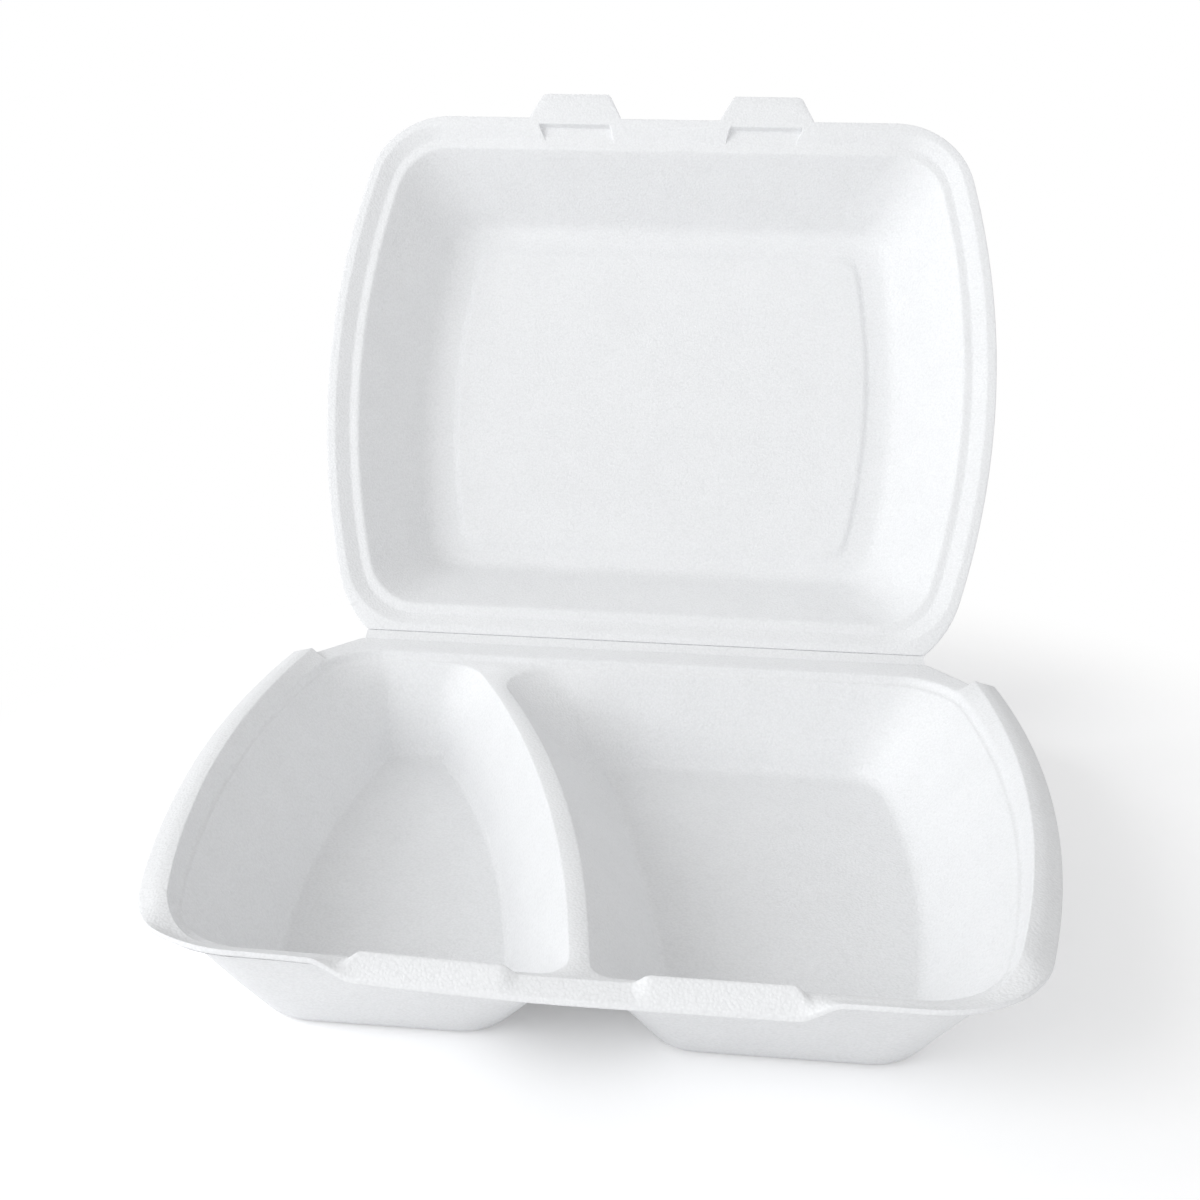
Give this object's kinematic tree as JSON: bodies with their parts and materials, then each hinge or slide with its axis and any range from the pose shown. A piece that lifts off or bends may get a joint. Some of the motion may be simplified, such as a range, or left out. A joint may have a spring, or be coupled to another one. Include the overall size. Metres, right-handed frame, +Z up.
{
  "type": "foam clamshell food container",
  "caption": "Hinged takeaway box of white foam sheet: a shallow tray divided by a curved ridge, and a cupped lid with locking tabs, standing open.",
  "frame": {"origin": "on the table under the middle of the open box: half way between its front rim and the back of the leaning lid", "axes": "+X along the hinge to the viewer's right, +Y from the front rim to the hinge, +Z up from the table"},
  "size_m": [0.24, 0.3054, 0.2157],
  "materials": {
    "foam": "white expanded foam sheet with a fine cell grain and a satin skin"
  },
  "bodies": {
    "tray": {"base_tray": "foam"},
    "strip": {"hinge_strip": "foam"},
    "cover": {"lid": "foam"}
  },
  "joints": [
    {"name": "tray_crease", "type": "hinge", "parent": "tray", "child": "strip", "pos_m": [0, 0.0463, 0.0344], "axis": [1, 0, 0], "range_deg": [-31, 59]},
    {"name": "lid_crease", "type": "hinge", "parent": "strip", "child": "cover", "pos_m": [0, 0.0493, 0.0362], "axis": [1, 0, 0], "range_deg": [-31, 59]}
  ],
  "couplings": [
    {"joint": "lid_crease", "follows": "tray_crease", "ratio": 1}
  ]
}
